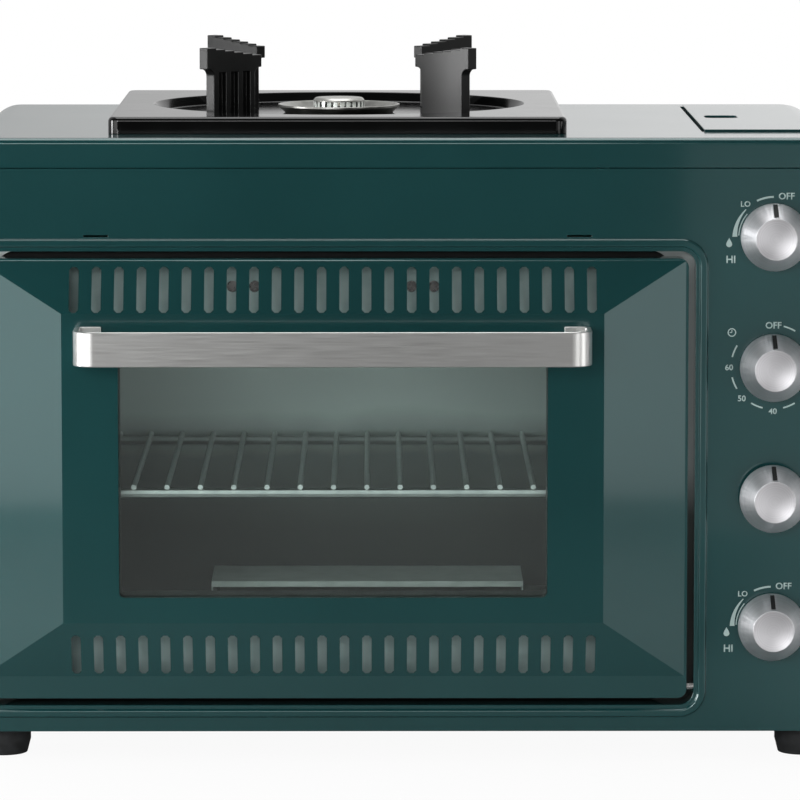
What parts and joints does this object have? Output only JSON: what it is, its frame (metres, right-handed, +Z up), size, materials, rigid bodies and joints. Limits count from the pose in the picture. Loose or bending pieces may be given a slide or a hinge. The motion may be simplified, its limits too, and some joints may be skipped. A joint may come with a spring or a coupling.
{
  "type": "portable gas oven",
  "caption": "Portable gas oven with a drop-down windowed door, a column of round controls, a hob plate with a burner and pan supports, and a lidded cartridge bay.",
  "frame": {"origin": "on the ground, below the middle of the whole object, handle included", "axes": "+Z up, the door and the controls face -Y, +X to the right as seen from the front"},
  "size_m": [0.48, 0.334, 0.3791],
  "materials": {
    "green_enamel": "gloss dark green stoved paint",
    "zinc_sheet": "satin zinc-plated sheet",
    "aluminised_sheet": "satin aluminised sheet",
    "black_rubber": "matt black rubber",
    "screw_steel": "bright plated steel",
    "mineral_wool": "soft mineral wool blanket",
    "chromed_wire": "chromed wire",
    "burner_steel": "satin stainless sheet",
    "brushed_handle": "brushed stainless strap",
    "igniter_ceramic": "glazed white ceramic rod",
    "magnet_black": "black magnet holder",
    "black_enamel": "gloss black enamel",
    "cast_aluminium": "fine cast aluminium",
    "black_cast_iron": "satin black coated iron",
    "brass_valve": "machined brass",
    "black_plastic": "black moulded plastic",
    "pipe_aluminium": "drawn aluminium tube",
    "window_glass": "clear toughened pane",
    "spun_aluminium": "satin turned aluminium"
  },
  "bodies": {
    "cabinet": {"wrap_cover": "green_enamel", "front_fascia": "green_enamel", "rear_panel": "green_enamel", "base_pan": "zinc_sheet", "feet": "black_rubber", "foot_screws": "screw_steel", "rear_screws": "screw_steel", "oven_liner": "aluminised_sheet", "oven_insulation": "mineral_wool", "door_seal": "black_rubber", "oven_rack": "chromed_wire", "oven_burner": "burner_steel", "burner_baffle": "burner_steel", "oven_igniter": "igniter_ceramic", "oven_probe": "burner_steel", "door_magnets": "magnet_black", "hinge_pins": "screw_steel", "hinge_brackets": "zinc_sheet", "hob_plate": "black_enamel", "burner_bowl": "burner_steel", "burner_throat": "cast_aluminium", "burner_crown": "cast_aluminium", "burner_cap": "burner_steel", "hob_igniter": "igniter_ceramic", "pan_support_1": "black_cast_iron", "pan_support_2": "black_cast_iron", "pan_support_3": "black_cast_iron", "pan_support_4": "black_cast_iron", "hob_valve": "brass_valve", "oven_valve": "brass_valve", "timer_case": "black_plastic", "timer_bell": "burner_steel", "piezo_igniter": "black_plastic", "gas_bay_tray": "zinc_sheet", "gas_regulator": "cast_aluminium", "lid_hinge_leaf": "zinc_sheet", "lid_hinge_pin": "screw_steel", "hob_gas_pipe": "pipe_aluminium", "oven_gas_pipe": "pipe_aluminium", "supply_gas_pipe": "pipe_aluminium"},
    "door": {"door_skin": "green_enamel", "glass_gasket": "black_rubber", "door_glass": "window_glass", "glass_retainer": "zinc_sheet", "door_inner_panel": "aluminised_sheet", "door_strikes": "screw_steel", "panel_rivets": "screw_steel", "door_handle": "brushed_handle", "handle_screws": "screw_steel", "hinge_lugs": "zinc_sheet"},
    "hob_control": {"hob_knob": "spun_aluminium", "hob_stem": "screw_steel"},
    "timer_control": {"timer_knob": "spun_aluminium", "timer_stem": "screw_steel"},
    "oven_control": {"oven_knob": "spun_aluminium", "oven_stem": "screw_steel"},
    "ignition_push": {"ignition_button": "spun_aluminium", "button_plunger": "screw_steel"},
    "gas_lid": {"gas_lid": "green_enamel"}
  },
  "joints": [
    {"name": "door_hinge", "type": "hinge", "parent": "cabinet", "child": "door", "pos_m": [-0.0374, -0.118, 0.0391], "axis": [1, 0, 0], "range_deg": [0, 85]},
    {"name": "gas_lid_hinge", "type": "hinge", "parent": "cabinet", "child": "gas_lid", "pos_m": [0.2375, 0.0355, 0.3018], "axis": [0, 1, 0], "range_deg": [0, 95]},
    {"name": "hob_knob_turn", "type": "hinge", "parent": "cabinet", "child": "hob_control", "pos_m": [0.198, -0.123, 0.2828], "axis": [0, -1, 0], "range_deg": [0, 90]},
    {"name": "timer_knob_turn", "type": "hinge", "parent": "cabinet", "child": "timer_control", "pos_m": [0.198, -0.123, 0.2128], "axis": [0, 1, 0], "range_deg": [0, 270]},
    {"name": "oven_knob_turn", "type": "hinge", "parent": "cabinet", "child": "oven_control", "pos_m": [0.198, -0.123, 0.0728], "axis": [0, -1, 0], "range_deg": [0, 90]},
    {"name": "ignition_press", "type": "slide", "parent": "cabinet", "child": "ignition_push", "axis": [0, 1, 0], "range_m": [0, 0.004], "stiffness_N_per_m": 400, "springref_m": -0.002}
  ]
}
